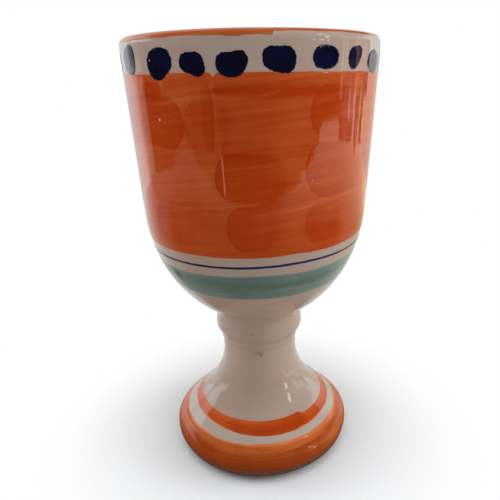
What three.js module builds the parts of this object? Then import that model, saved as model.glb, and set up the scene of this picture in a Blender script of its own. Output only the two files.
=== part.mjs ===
// A hand-thrown pottery goblet. A round-bottomed bowl and a hollow stem with a belled foot are thrown
// apart, luted together with slip and a collar of soft clay, dipped in white glaze and painted with
// coats of colour: a rim line, a row of dabs, a broad band, a pinstripe, a green band and stripes on
// the foot. Millimetres, +Z up. The origin is the middle of the ring that the foot stands on.
import * as THREE from "three";

// Foot and stem, thrown in one piece
const FOOT_RADIUS = 37.4; // widest point of the rolled edge
const ROLL_REACH = 7.9; // how far the rolled edge stands out past the ring that it rests on
const ROLL_UNDERSIDE = 8.9; // height of the rolled edge's widest point
const ROLL_TOP = 6.1; // rise of the rolled edge above its widest point
const ROLL_JOIN_DEG = 62; // how far round the top of the rolled edge the bell grows out of it
const FOOT_RING_WIDTH = 4.5; // bare ring that the goblet stands on
const BELL_LEAN = 1.1; // the bell starts steep, leaning in by this much
const BELL_RISE = 3.9; // while it rises by this much
const BELL_SWEEP = 0.62; // share of the bell's height over which it straightens into the waist
const WAIST_RADIUS = 15.5;
const WAIST_LENGTH = 4.1; // straight run between the bell and the shoulder
const STEM_HEIGHT = 60; // ground to the top of the tenon
const STEM_WALL = 8; // the stem is a tube
const SHOULDER_WIDTH = 2.1; // ledge that the collar stands on
const TENON_LENGTH = 11.5; // neck of the stem inside the collar
const HOLLOW_RISE = 14; // height over which the hollow under the foot stays wide
const HOLLOW_SWEEP = 0.4; // share of the bell's height over which the hollow narrows to the bore

// Joint between stem and bowl
const SLIP_THICKNESS = 1; // layer of slip that bonds the tenon to the bowl
const SEAT_MARGIN = 1.6; // the flat trimmed under the bowl is this much wider than the tenon
const COLLAR_COVER = 3.1; // the collar reaches this far past the flat, up the bowl's round bottom
const COLLAR_LIP = 0.3; // the collar's lower edge stands this proud of the waist
const COLLAR_SWELL = 7.9; // height over which the collar swells to its full radius
const COLLAR_EASE = 2.5; // upright stretch at each end of that swelling
const CLAY_GAP = 0.2; // clearance of the collar to the tenon and to the bowl

// Bowl
const BELLY_RADIUS = 42.6; // half width of the ellipse that the round bottom follows
const BELLY_DEPTH = 51; // its half height
const RIM_RADIUS = 45.7;
const BOWL_HEIGHT = 104; // flat to rim
const BOWL_WALL = 5;
const BOWL_FLOOR = 7; // clay between the flat and the inside

// Coats of colour
const COAT_THICKNESS = 0.4;
const COAT_GAP = 0.15; // clearance between a coat and the clay under it
const GREEN_ABOVE_SEAT = 18; // from the flat under the bowl to the green band
const GREEN_WIDTH = 10.4;
const PINSTRIPE_ABOVE_GREEN = 3.1;
const PINSTRIPE_WIDTH = 1.2;
const BROAD_ABOVE_PINSTRIPE = 3.2;
const BROAD_BELOW_DABS = 0.9; // the broad band fills the side up to the dabs
const DAB_COUNT = 21;
const DAB_TURN_DEG = 3; // turn of the whole row of dabs about the axis
const DAB_WIDTH = 9.2;
const DAB_HEIGHT = 5.6;
const DAB_BELOW_RIM = 4.9; // rim to the top of the dabs
const DAB_UNEVENNESS = 0.12; // share by which the hand-made dabs differ in width
const DAB_CROWN = 0.8; // share of a dab's width that has the coat's full thickness
const DAB_EDGE = 0.5; // share of that thickness left at its edge
const EDGE_BARE = 2.2; // bare clay between the ground and the colour on the rolled edge
const EDGE_ABOVE_ROLL = 1.4; // how far that colour climbs onto the bell
const STRIPE_ABOVE_EDGE = 2.3; // white ring between that colour and the foot stripe
const STRIPE_WIDTH = 3.6; // height of the foot stripe

// Fineness of the facets
const TURN_FACETS = 48;
const DAB_FACETS = 12;
const CURVE_STEP = 6; // longest straight stretch along a curved outline
const CURVE_LEAST = 4; // fewest stretches on a curve
const LEAST_STRETCH = 0.3; // shortest stretch of an outline

// Radii and heights that follow from the sizes above
const tenonRadius = WAIST_RADIUS - SHOULDER_WIDTH;
const boreRadius = WAIST_RADIUS - STEM_WALL;
const seatRadius = tenonRadius + SEAT_MARGIN;
const collarRadius = seatRadius + COLLAR_COVER;
const footRingRadius = FOOT_RADIUS - ROLL_REACH;
const hollowRadius = footRingRadius - FOOT_RING_WIDTH;
const rollJoinAngle = THREE.MathUtils.degToRad(ROLL_JOIN_DEG);
const shoulderZ = STEM_HEIGHT - TENON_LENGTH;
const bellTopZ = shoulderZ - WAIST_LENGTH;
const seatZ = STEM_HEIGHT + SLIP_THICKNESS;
const bellyZ = seatZ + BELLY_DEPTH * Math.sqrt(1 - (seatRadius / BELLY_RADIUS) ** 2);
const rimZ = seatZ + BOWL_HEIGHT;
const lipReach = BOWL_WALL / 2;
const lipZ = rimZ - lipReach;

// Outlines are paths of radius and height. Their points become a solid by turning about the Z axis.
function outlinePoints(path) {
  const points = [];
  for (const curve of path.curves) {
    const curved = Math.max(CURVE_LEAST, Math.ceil(curve.getLength() / CURVE_STEP));
    for (const point of curve.getPoints(curve.isLineCurve ? 1 : curved)) {
      const isNew = !points.length || point.distanceTo(points.at(-1)) > LEAST_STRETCH;
      if (isNew) points.push(point);
    }
  }
  return points;
}

function turned(points) {
  const geometry = new THREE.LatheGeometry(points, TURN_FACETS);
  geometry.rotateX(Math.PI / 2);
  return geometry;
}

// Rolled edge and bell of the foot, then the waist, from the foot ring up to the shoulder
function stemSide() {
  const path = new THREE.Path();
  path.moveTo(footRingRadius, 0);
  path.absellipse(footRingRadius, ROLL_UNDERSIDE, ROLL_REACH, ROLL_UNDERSIDE, -Math.PI / 2, 0);
  path.absellipse(footRingRadius, ROLL_UNDERSIDE, ROLL_REACH, ROLL_TOP, 0, rollJoinAngle);
  const { x: footX, y: footZ } = path.currentPoint;
  const riseZ = footZ + BELL_RISE;
  const sweepZ = bellTopZ - BELL_SWEEP * (bellTopZ - footZ);
  path.bezierCurveTo(footX - BELL_LEAN, riseZ, WAIST_RADIUS, sweepZ, WAIST_RADIUS, bellTopZ);
  path.lineTo(WAIST_RADIUS, shoulderZ);
  return path;
}

function stemAndFoot() {
  const outline = stemSide();
  const sweepZ = bellTopZ - HOLLOW_SWEEP * bellTopZ;
  outline.lineTo(tenonRadius, shoulderZ);
  outline.lineTo(tenonRadius, STEM_HEIGHT);
  outline.lineTo(boreRadius, STEM_HEIGHT);
  outline.lineTo(boreRadius, bellTopZ);
  outline.bezierCurveTo(boreRadius, sweepZ, hollowRadius, HOLLOW_RISE, hollowRadius, 0);
  outline.lineTo(footRingRadius, 0);
  return turned(outlinePoints(outline));
}

function jointSlip() {
  const outline = new THREE.Path();
  outline.moveTo(boreRadius, STEM_HEIGHT);
  outline.lineTo(tenonRadius, STEM_HEIGHT);
  outline.lineTo(tenonRadius, seatZ);
  outline.lineTo(boreRadius, seatZ);
  outline.lineTo(boreRadius, STEM_HEIGHT);
  return turned(outlinePoints(outline));
}

// The collar stands on the stem's shoulder round the tenon, and its top is hollowed to fit the bowl.
function lutingCollar() {
  const bore = tenonRadius + CLAY_GAP;
  const foot = WAIST_RADIUS + COLLAR_LIP;
  const easeZ = shoulderZ + COLLAR_EASE;
  const swellZ = shoulderZ + COLLAR_SWELL;
  const topRadius = BELLY_RADIUS + CLAY_GAP;
  const topDepth = BELLY_DEPTH + CLAY_GAP;
  const edgeAngle = Math.acos(collarRadius / topRadius);
  const flatAngle = Math.asin((bellyZ - seatZ + CLAY_GAP) / topDepth);
  const outline = new THREE.Path();
  outline.moveTo(bore, shoulderZ);
  outline.lineTo(foot, shoulderZ);
  outline.bezierCurveTo(foot, easeZ, collarRadius, swellZ - COLLAR_EASE, collarRadius, swellZ);
  outline.lineTo(collarRadius, bellyZ - topDepth * Math.sin(edgeAngle));
  outline.absellipse(0, bellyZ, topRadius, topDepth, -edgeAngle, -flatAngle, true);
  outline.lineTo(bore, seatZ - CLAY_GAP);
  outline.lineTo(bore, shoulderZ);
  return turned(outlinePoints(outline));
}

// The bowl's side is a straight taper that leaves the ellipse of its round bottom as a tangent.
function tangentAngle(radius, depth, rimRadius) {
  const run = (radius / depth) * (rimZ - bellyZ);
  return Math.acos(radius / Math.hypot(rimRadius, run)) - Math.atan2(run, rimRadius);
}

const sideAngle = tangentAngle(BELLY_RADIUS, BELLY_DEPTH, RIM_RADIUS);
const sideSlope = (BELLY_RADIUS / BELLY_DEPTH) * Math.tan(sideAngle);
const sideRadius = (z) => RIM_RADIUS - sideSlope * (rimZ - z);

function bowlSide() {
  const path = new THREE.Path();
  const seatAngle = Math.acos(seatRadius / BELLY_RADIUS);
  path.moveTo(seatRadius, seatZ);
  path.absellipse(0, bellyZ, BELLY_RADIUS, BELLY_DEPTH, -seatAngle, -sideAngle);
  path.lineTo(sideRadius(lipZ), lipZ);
  return path;
}

// Rounded lip, from the outside over to the inside
function addLip(path) {
  path.absellipse(sideRadius(lipZ) - lipReach, lipZ, lipReach, lipReach, 0, Math.PI);
  return path;
}

function bowl() {
  const radius = BELLY_RADIUS - BOWL_WALL;
  const depth = bellyZ - seatZ - BOWL_FLOOR;
  const angle = tangentAngle(radius, depth, RIM_RADIUS - BOWL_WALL);
  const outline = addLip(bowlSide());
  outline.lineTo(radius * Math.cos(angle), bellyZ - depth * Math.sin(angle));
  outline.absellipse(0, bellyZ, radius, depth, -angle, -Math.PI / 2, true);
  return turned([new THREE.Vector2(0, seatZ), ...outlinePoints(outline)]);
}

// The part of an outline's points between two heights, cut at those heights
function stretch(points, lowZ, highZ) {
  const pointAt = (z) => {
    const above = points.findIndex((point) => point.y > z);
    const from = points[above - 1];
    const to = points[above];
    return from.clone().lerp(to, (z - from.y) / (to.y - from.y));
  };
  const keeps = (point) => point.y > lowZ + LEAST_STRETCH && point.y < highZ - LEAST_STRETCH;
  return [pointAt(lowZ), ...points.filter(keeps), pointAt(highZ)];
}

// Points moved off an outline, square to it
function lifted(points, distance) {
  return points.map((point, i) => {
    const before = points[Math.max(i - 1, 0)];
    const after = points[Math.min(i + 1, points.length - 1)];
    const along = point.clone().sub(before).normalize();
    along.add(after.clone().sub(point).normalize());
    along.normalize();
    return new THREE.Vector2(point.x + along.y * distance, point.y - along.x * distance);
  });
}

// A coat of colour is a thin skin over a stretch of the clay's outline.
function coat(points) {
  const over = lifted(points, COAT_GAP + COAT_THICKNESS);
  const under = lifted(points, COAT_GAP).reverse();
  return turned([...over, ...under, over[0]]);
}

const stemPoints = outlinePoints(stemSide());
const bowlPoints = outlinePoints(bowlSide());
const edgeTopZ = ROLL_UNDERSIDE + ROLL_TOP * Math.sin(rollJoinAngle) + EDGE_ABOVE_ROLL;
const stripeZ = edgeTopZ + STRIPE_ABOVE_EDGE;
const greenZ = seatZ + GREEN_ABOVE_SEAT;
const pinstripeZ = greenZ + GREEN_WIDTH + PINSTRIPE_ABOVE_GREEN;
const broadZ = pinstripeZ + PINSTRIPE_WIDTH + BROAD_ABOVE_PINSTRIPE;
const dabZ = rimZ - DAB_BELOW_RIM - DAB_HEIGHT / 2;
const broadTopZ = rimZ - DAB_BELOW_RIM - DAB_HEIGHT - BROAD_BELOW_DABS;

// A dab is a low button with a thin edge, bent round the bowl's side. The section has unit sizes.
function dab(index) {
  const width = DAB_WIDTH * (1 + DAB_UNEVENNESS * Math.sin(index * index));
  const section = [
    new THREE.Vector2(0, 0),
    new THREE.Vector2(1, 0),
    new THREE.Vector2(1, DAB_EDGE),
    new THREE.Vector2(DAB_CROWN, 1),
    new THREE.Vector2(0, 1),
  ];
  const geometry = new THREE.LatheGeometry(section, DAB_FACETS);
  const position = geometry.attributes.position;
  for (let i = 0; i < position.count; i++) {
    const z = dabZ - (position.getZ(i) * DAB_HEIGHT) / 2;
    const radius = sideRadius(z) + COAT_GAP + position.getY(i) * COAT_THICKNESS;
    const angle = (position.getX(i) * width) / 2 / sideRadius(z);
    position.setXYZ(i, radius * Math.sin(angle), -radius * Math.cos(angle), z);
  }
  return geometry;
}

const whiteGlaze = { color: 0xcfc6bb, roughness: 0.18, metalness: 0 };
const bareSlip = { color: 0xb9a58f, roughness: 0.85, metalness: 0 };
const orangeGlaze = { color: 0xb8692f, roughness: 0.2, metalness: 0 };
const greenGlaze = { color: 0x55796f, roughness: 0.2, metalness: 0 };
const navyGlaze = { color: 0x2c2f45, roughness: 0.2, metalness: 0 };

const goblet = new THREE.Group();

function addPiece(name, geometry, finish) {
  const mesh = new THREE.Mesh(geometry, new THREE.MeshStandardMaterial(finish));
  mesh.name = name;
  goblet.add(mesh);
  return mesh;
}

addPiece("stem_and_foot", stemAndFoot(), whiteGlaze);
addPiece("joint_slip", jointSlip(), bareSlip);
addPiece("luting_collar", lutingCollar(), whiteGlaze);
addPiece("bowl", bowl(), whiteGlaze);
addPiece("foot_edge_band", coat(stretch(stemPoints, EDGE_BARE, edgeTopZ)), orangeGlaze);
addPiece("foot_stripe", coat(stretch(stemPoints, stripeZ, stripeZ + STRIPE_WIDTH)), orangeGlaze);
addPiece("green_band", coat(stretch(bowlPoints, greenZ, greenZ + GREEN_WIDTH)), greenGlaze);
addPiece("pinstripe", coat(stretch(bowlPoints, pinstripeZ, pinstripeZ + PINSTRIPE_WIDTH)), navyGlaze);
addPiece("broad_band", coat(stretch(bowlPoints, broadZ, broadTopZ)), orangeGlaze);
addPiece("rim_line", coat(outlinePoints(addLip(new THREE.Path()))), orangeGlaze);
for (let i = 0; i < DAB_COUNT; i++) {
  const mesh = addPiece(`dab_${String(i + 1).padStart(2, "0")}`, dab(i), navyGlaze);
  mesh.rotation.z = THREE.MathUtils.degToRad(DAB_TURN_DEG) + ((i + 0.5) * 2 * Math.PI) / DAB_COUNT;
}

export default goblet;
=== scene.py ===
import math

import bmesh
import bpy
import numpy as np
from mathutils import Matrix, Vector


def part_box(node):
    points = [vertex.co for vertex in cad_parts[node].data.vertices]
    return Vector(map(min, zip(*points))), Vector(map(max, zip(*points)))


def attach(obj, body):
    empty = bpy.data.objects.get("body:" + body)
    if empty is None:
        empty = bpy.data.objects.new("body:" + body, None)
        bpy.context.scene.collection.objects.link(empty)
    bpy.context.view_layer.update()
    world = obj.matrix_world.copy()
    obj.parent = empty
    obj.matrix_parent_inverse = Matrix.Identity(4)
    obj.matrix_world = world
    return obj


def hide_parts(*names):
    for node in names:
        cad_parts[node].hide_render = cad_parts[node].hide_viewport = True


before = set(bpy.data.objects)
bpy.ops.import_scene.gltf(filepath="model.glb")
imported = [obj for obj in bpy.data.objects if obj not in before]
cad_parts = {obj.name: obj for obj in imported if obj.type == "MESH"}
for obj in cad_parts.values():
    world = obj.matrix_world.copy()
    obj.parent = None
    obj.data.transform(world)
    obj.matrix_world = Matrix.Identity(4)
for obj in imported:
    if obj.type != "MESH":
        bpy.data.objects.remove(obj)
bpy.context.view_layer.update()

# Stem and foot
# One tube of clay thrown on the wheel: a straight waist, a bell and a rolled edge, hollow underneath.
# It is dipped in white glaze, and the ring that it stands on is wiped bare before the firing. That bare
# clay is carried up the lower roll as a dark strip of painted shadow.
MM = 0.001
stem_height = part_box("stem_and_foot")[1].z
foot_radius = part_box("stem_and_foot")[1].x
shoulder_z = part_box("luting_collar")[0].z
roll_reach = 7.9 * MM
roll_underside = 8.9 * MM
roll_top = 6.1 * MM
roll_join_deg = 62
foot_ring_width = 4.5 * MM
bell_lean = 1.1 * MM
bell_rise = 3.9 * MM
bell_sweep = 0.62
waist_radius = 15.5 * MM
waist_length = 4.1 * MM
stem_wall = 8 * MM
shoulder_width = 2.1 * MM
hollow_rise = 14 * MM
hollow_sweep = 0.4
stem_wear = 0.9 * MM
stem_facets = 256
# the dark strip of painted shadow up the roll: where it climbs highest, how far round it reaches, how much
# it climbs and its usual height
dark_strip_turn = math.radians(36)
dark_strip_reach = math.radians(55)
dark_strip_rise = 0.7 * MM
dark_strip_z = 6.6 * MM
wheel_radius = 10 * MM
foot_ring_radius = foot_radius - roll_reach
hollow_radius = foot_ring_radius - foot_ring_width
tenon_radius = waist_radius - shoulder_width
bore_radius = waist_radius - stem_wall
bell_top_z = shoulder_z - waist_length


def straight(start, end):
    """Straight stretch of an outline, as points of radius and height."""
    return np.array([start, end], float)


def rounded(centre, reach, rise, first, last, steps=60):
    """Stretch of an ellipse round a centre, between two angles in degrees from its outer end."""
    turn = np.radians(np.linspace(first, last, steps + 1))
    return np.column_stack((centre[0] + reach * np.cos(turn), centre[1] + rise * np.sin(turn)))


def swept(start, lead, trail, end, steps=80):
    """Stretch that leaves its start towards lead and comes into its end from trail."""
    t = np.linspace(0, 1, steps + 1)[:, None]
    start, lead, trail, end = (np.array(point) for point in (start, lead, trail, end))
    return (1 - t) ** 3 * start + 3 * t * (1 - t) ** 2 * lead + 3 * t**2 * (1 - t) * trail + t**3 * end


def wet_outline(stretches, closed, wear=0.4 * MM):
    """Joins stretches into one outline in short even steps, with every corner worn round by wet fingers."""
    step = 0.15 * MM
    points = np.concatenate(stretches)
    if closed:
        points = np.concatenate((points, points[:1]))
    run = np.hypot(*np.diff(points, axis=0).T)
    points = points[np.concatenate(([True], run > step / 100))]
    length = np.concatenate(([0], np.cumsum(np.hypot(*np.diff(points, axis=0).T))))
    even = np.linspace(0, length[-1], round(length[-1] / step))
    points = np.column_stack([np.interp(even, length, column) for column in points.T])
    if closed:
        points = points[:-1]
    for _ in range(round(2 * (wear / step) ** 2)):
        worn = (np.roll(points, 1, 0) + 2 * points + np.roll(points, -1, 0)) / 4
        if not closed:
            worn[[0, -1]] = points[[0, -1]]
        points = worn
    return points


def thinned(points, longest=1.8 * MM, sharpest=math.radians(3)):
    """Keeps the points that an outline needs: one for each small bend, and none too far apart."""
    kept = [0]
    heading = points[1] - points[0]
    for i in range(1, len(points) - 1):
        onward = points[i + 1] - points[i]
        bend = abs(math.atan2(heading[0] * onward[1] - heading[1] * onward[0], heading @ onward))
        if bend > sharpest or np.hypot(*(points[i] - points[kept[-1]])) > longest:
            kept.append(i)
            heading = onward
    return points[[*kept, len(points) - 1]]


class Socket:
    """An output of a node. Arithmetic adds Math nodes, and node() adds any other node to the same tree."""

    def __init__(self, tree, socket=None):
        self.tree = tree
        self.socket = socket

    def node(self, kind, settings=None, sockets=None, output=0):
        made = self.tree.nodes.new(kind)
        for name, value in (settings or {}).items():
            if name == "stops":
                for place, _ in value[2:]:
                    made.color_ramp.elements.new(place)
                for element, (place, colour) in zip(made.color_ramp.elements, sorted(value)):
                    element.position = place
                    element.color = colour
            else:
                setattr(made, name, value)
        for name, value in (sockets or {}).items():
            if isinstance(value, Socket):
                self.tree.links.new(value.socket, made.inputs[name])
            else:
                made.inputs[name].default_value = value
        return Socket(self.tree, made.outputs[output]) if len(made.outputs) else made

    def math(self, operation, *values):
        """A Math node on these values, or on this one alone."""
        return self.node("ShaderNodeMath", {"operation": operation}, dict(enumerate(values or (self,))))

    def __add__(self, other):
        return self.math("ADD", self, other)

    def __radd__(self, other):
        return self.math("ADD", other, self)

    def __sub__(self, other):
        return self.math("SUBTRACT", self, other)

    def __rsub__(self, other):
        return self.math("SUBTRACT", other, self)

    def __mul__(self, other):
        return self.math("MULTIPLY", self, other)

    def __rmul__(self, other):
        return self.math("MULTIPLY", other, self)

    def __truediv__(self, other):
        return self.math("DIVIDE", self, other)

    def __rtruediv__(self, other):
        return self.math("DIVIDE", other, self)

    def __pow__(self, other):
        return self.math("POWER", self, other)

    def __rpow__(self, other):
        return self.math("POWER", other, self)

    def between(self, low, high):
        """0 at low and below, 1 at high and above, eased in between."""
        settings = {"interpolation_type": "SMOOTHSTEP"}
        return self.node("ShaderNodeMapRange", settings, {"Value": self, "From Min": low, "From Max": high})

    def part(self, axis):
        return self.node("ShaderNodeSeparateXYZ", sockets={0: self}, output=axis)

    def stretched(self, x, y, z):
        settings = {"operation": "MULTIPLY"}
        return self.node("ShaderNodeVectorMath", settings, {0: self, 1: (x, y, z)})

    def noise(self, scale, detail=2.0, roughness=0.5):
        sockets = {"Vector": self, "Scale": scale, "Detail": detail, "Roughness": roughness}
        return self.node("ShaderNodeTexNoise", sockets=sockets)

    def blend(self, under, over):
        """Mixes two colours by this value."""
        settings = {"data_type": "RGBA"}
        return self.node("ShaderNodeMix", settings, {0: self, 6: under, 7: over}, output=2)

    def ramp(self, stops):
        """Colour that this value has between stops, each a place and a colour."""
        return self.node("ShaderNodeValToRGB", {"stops": stops}, {"Fac": self})


def new_tree(name, inputs, output):
    """New tree of geometry nodes, and its named inputs as sockets."""
    tree = bpy.data.node_groups.new(name, "GeometryNodeTree")
    for label, kind in inputs.items():
        tree.interface.new_socket(label, in_out="INPUT", socket_type=f"NodeSocket{kind}")
    tree.interface.new_socket(output, in_out="OUTPUT", socket_type="NodeSocketGeometry")
    entry = tree.nodes.new("NodeGroupInput")
    return tree, [Socket(tree, entry.outputs[label]) for label in inputs]


def end_tree(geometry, glaze):
    """Ends a tree: its geometry is shaded smooth, made real and given a glaze."""
    smooth = geometry.node("GeometryNodeSetShadeSmooth", sockets={"Geometry": geometry})
    real = smooth.node("GeometryNodeRealizeInstances", sockets={"Geometry": smooth})
    finished = real.node("GeometryNodeSetMaterial", sockets={"Geometry": real, "Material": glaze})
    finished.node("NodeGroupOutput", sockets={0: finished})


def potters_wheel():
    """Tree that turns an outline of radius (x) and height (z) about the Z axis into a solid."""
    inputs = {"Outline": "Geometry", "Facets": "Int", "Wheel": "Float", "Glaze": "Material"}
    tree, (outline, facets, wheel, glaze) = new_tree("potters_wheel", inputs, "Turned")
    curve = outline.node("GeometryNodeMeshToCurve", sockets={0: outline})
    place = outline.node("GeometryNodeInputPosition")
    sockets = {0: place.part("X") - wheel, 1: 0 - place.part("Z")}
    section = place.node("ShaderNodeCombineXYZ", sockets=sockets)
    profile = section.node("GeometryNodeSetPosition", sockets={"Geometry": curve, "Position": section})
    sockets = {"Resolution": facets, "Radius": wheel}
    circle = profile.node("GeometryNodeCurvePrimitiveCircle", sockets=sockets)
    turned = circle.node("GeometryNodeCurveToMesh", sockets={"Curve": circle, "Profile Curve": profile})
    sockets = {"Geometry": turned, "Distance": 1e-6}
    end_tree(turned.node("GeometryNodeMergeByDistance", sockets=sockets), glaze)
    return tree


def grown(name, start, tree, values):
    """Runs a tree on a mesh and returns an object that holds the result as a plain mesh."""
    piece = bpy.data.objects.new(name, start)
    bpy.context.collection.objects.link(piece)
    modifier = piece.modifiers.new("tree", "NODES")
    modifier.node_group = tree
    for item in tree.interface.items_tree:
        if item.name in values:
            modifier[item.identifier] = values[item.name]
    graph = bpy.context.evaluated_depsgraph_get()
    mesh = bpy.data.meshes.new_from_object(piece.evaluated_get(graph))
    piece.modifiers.remove(modifier)
    piece.data = mesh
    return piece


def held(value):
    """Value held between 0 and 1."""
    return np.clip(value, 0, 1)


def hand_thrown(points):
    """Moves points in or out as the thrower's hands left the wall: slow waves round it, faint rings, and
    shallow lumps on the bell of the foot."""
    wave, wave_rise, axis_fade = 0.13 * MM, 30 * MM, 8 * MM
    ring_depth, ring_pitch = 0.012 * MM, 6.5 * MM
    lump, bell_low, bell_high, bell_fade = 0.05 * MM, 22 * MM, 40 * MM, 4 * MM
    x, y, z = points.T
    turn = np.arctan2(x, -y)
    radius = np.hypot(x, y)
    climb = z / wave_rise
    shift = wave * (np.sin(2 * turn + 0.7 * climb + 0.4) + 0.7 * np.sin(3 * turn - 1.1 * climb + 2.1))
    shift += ring_depth * np.sin(2 * math.pi * z / ring_pitch - turn) * (0.7 + 0.3 * np.sin(turn + climb))
    lumps = np.sin(8 * turn + z / (2.4 * MM)) + 0.8 * np.sin(15 * turn - z / (1.7 * MM) + 1)
    lumps += 0.5 * np.sin(23 * turn + z / (1.2 * MM) + 2)
    shift += lump * lumps * (held((z - bell_low) / bell_fade) * held((bell_high - z) / bell_fade))
    scale = 1 + shift * held(radius / axis_fade) / np.maximum(radius, MM)
    return np.column_stack((x * scale, y * scale, z))


def finish_clay(piece):
    """Closes seams, points the faces outwards and gives the piece its hand-thrown unevenness."""
    mesh = piece.data
    points = np.empty(len(mesh.vertices) * 3)
    mesh.vertices.foreach_get("co", points)
    mesh.vertices.foreach_set("co", hand_thrown(points.reshape(-1, 3)).ravel())
    shell = bmesh.new()
    shell.from_mesh(mesh)
    bmesh.ops.remove_doubles(shell, verts=shell.verts, dist=1e-6)
    bmesh.ops.recalc_face_normals(shell, faces=shell.faces)
    shell.to_mesh(mesh)
    shell.free()
    mesh.update()


wheel_tree = potters_wheel()


def thrown(name, points, closed, facets, glaze):
    """Turns an outline on the wheel."""
    outline = bpy.data.meshes.new(name)
    edges = [(i, i + 1) for i in range(len(points) - 1)]
    if closed:
        edges.append((len(points) - 1, 0))
    outline.from_pydata([(radius, 0, height) for radius, height in points], edges, [])
    values = {"Facets": facets, "Wheel": wheel_radius, "Glaze": glaze}
    piece = grown(name, outline, wheel_tree, values)
    finish_clay(piece)
    return piece


def paint(red, green, blue):
    """Colour of a surface, from the levels 0 to 255 that a screen shows, as linear light."""
    levels = np.array([red, green, blue]) / 255
    linear = np.where(levels > 0.04045, ((levels + 0.055) / 1.055) ** 2.4, levels / 12.92)
    return (*linear.tolist(), 1.0)


def blank_material(name):
    """New material, and a start for its empty tree."""
    material = bpy.data.materials.new(name)
    material.use_nodes = True
    material.node_tree.nodes.clear()
    return material, Socket(material.node_tree)


def fired_glaze(name, colour, roughness=0.03, ripple=0.3, shine=0.5, bare=None, dry=None):
    """Material of a fired coat: colour(place) under a wavy gloss. dry(place) says where the gloss is dull,
    and bare(place) where no glaze is left and the clay colour there, which on the foot holds painted
    shadow."""
    uneven_gloss, dry_dullness, clay_dullness = 0.04, 0.3, 0.7
    ripple_height = 0.25 * MM
    material, start = blank_material(name)
    place = start.node("ShaderNodeTexCoord", output="Object")
    gloss = roughness + uneven_gloss * place.noise(160)
    wave = place.noise(75, 1.0) + 0.18 * place.noise(420, 2.0)
    tint = colour(place)
    if dry:
        gloss = gloss + dry_dullness * dry(place)
    if bare:
        unglazed, clay = bare(place)
        tint = unglazed.blend(tint, clay)
        gloss = gloss + clay_dullness * unglazed
        wave = wave + unglazed * place.noise(2600, 3.0)
    sockets = {"Height": wave, "Strength": ripple, "Distance": ripple_height}
    normal = place.node("ShaderNodeBump", sockets=sockets)
    sockets = {"Base Color": tint, "Roughness": gloss, "Normal": normal}
    sockets.update({"IOR": 1.5, "Specular IOR Level": shine})
    surface = place.node("ShaderNodeBsdfPrincipled", sockets=sockets)
    surface.node("ShaderNodeOutputMaterial", sockets={"Surface": surface})
    return material


def speckled(place, scale, share, size):
    """1 inside small scattered specks: one in each of a share of cells."""
    cells = {"Vector": place, "Scale": scale}
    near = place.node("ShaderNodeTexVoronoi", sockets=cells)
    chosen = place.node("ShaderNodeTexVoronoi", sockets=cells, output="Color").part("X")
    return (1 - near.between(size * 0.5, size)) * (1 - chosen.between(share, share + 0.01))


def zone(place, low, full_low, full_high, high):
    """1 between two heights (mm), eased to 0 at the two outside them."""
    level = place.part("Z")
    return level.between(low * MM, full_low * MM) * (1 - level.between(full_high * MM, high * MM))


def white_colour(place):
    """White tin glaze: cool where it lies thick, warmer where the clay shows through, with faint pink
    blushes. It is pale where it pooled over the roll of the foot, and is painted paler there as painted
    light on the upward-facing ring. Round the waist it is painted paler as painted light."""
    pooled_and_lit_heights = (14, 15.5, 18, 21)
    waist_lit_heights = (30, 42, 61, 64)
    thick = place.noise(38, 3.0).between(0.35, 0.68)
    tint = thick.blend(paint(181, 155, 139), paint(184, 163, 150))
    blush = place.stretched(1, 1, 1.6).noise(62, 2.0).between(0.56, 0.74) * 0.5
    tint = blush.blend(tint, paint(183, 148, 137))
    # painted light: paler over the roll of the foot, where glaze also pooled, and round the waist
    tint = zone(place, *pooled_and_lit_heights).blend(tint, paint(188, 168, 154))
    tint = (0.5 * zone(place, *waist_lit_heights)).blend(tint, paint(197, 171, 156))
    specks = speckled(place, 210, 0.07, 0.075) * 0.6
    return specks.blend(tint, paint(120, 84, 74))


def turn_of(place):
    """Angle round the goblet from its front, positive to the right."""
    return place.math("ARCTAN2", place.part("X"), 0 - place.part("Y"))


def spotted(colour, spots, radius):
    """A glaze's colour with spots added, on a wall of about this radius."""

    def with_spots(place):
        tint = colour(place)
        turn = turn_of(place)
        for angle, height, half_width, half_height, core, strength, spot in spots:
            across = (turn - math.radians(angle)) * (radius / (half_width * MM))
            up = (place.part("Z") - height * MM) / (half_height * MM)
            away = (across * across + up * up) ** 0.5
            tint = ((1 - away.between(core, 1)) * strength).blend(tint, spot)
        return tint

    return with_spots


stem_spots = (
    # angle from the front (degrees), height, half width and half height (mm), how much of it is even, how
    # strong it is and its colour: a pink smudge under the collar's ridge with a dark drop, and a small
    # darker spot that is painted shade of a dent
    (-1.5, 46.4, 3.0, 1.2, 0.0, 0.7, paint(162, 118, 106)),
    (0.5, 45.7, 1.2, 0.35, 0.2, 0.85, paint(126, 86, 76)),
    (1.6, 45.2, 0.5, 0.5, 0.1, 0.6, paint(140, 98, 88)),
    # painted shade: a darker spot that stands for a small dent
    (-14.7, 46.1, 0.6, 0.4, 0.1, 0.6, paint(140, 116, 102)),
)


def bare_ring_and_painted_shadow(place):
    """Bare clay on the ring that the goblet stands on, carried up the lower roll as a dark strip of painted
    shadow that climbs higher to the right of the front.
    """
    off = turn_of(place) - dark_strip_turn
    climb = dark_strip_rise * (1 - off.math("ABSOLUTE").between(0, dark_strip_reach))
    edge = climb + dark_strip_z + 0.9 * MM * (place.noise(240, 2.0) - 0.5)
    # painted shadow: the bare clay reaches up the roll as far as the shadow at the foot
    unglazed = 1 - (place.part("Z") / edge).between(0.9, 1.08)
    grain = place.noise(1500, 3.0)
    return unglazed, grain.blend(paint(92, 58, 40), paint(126, 92, 70))


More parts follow.
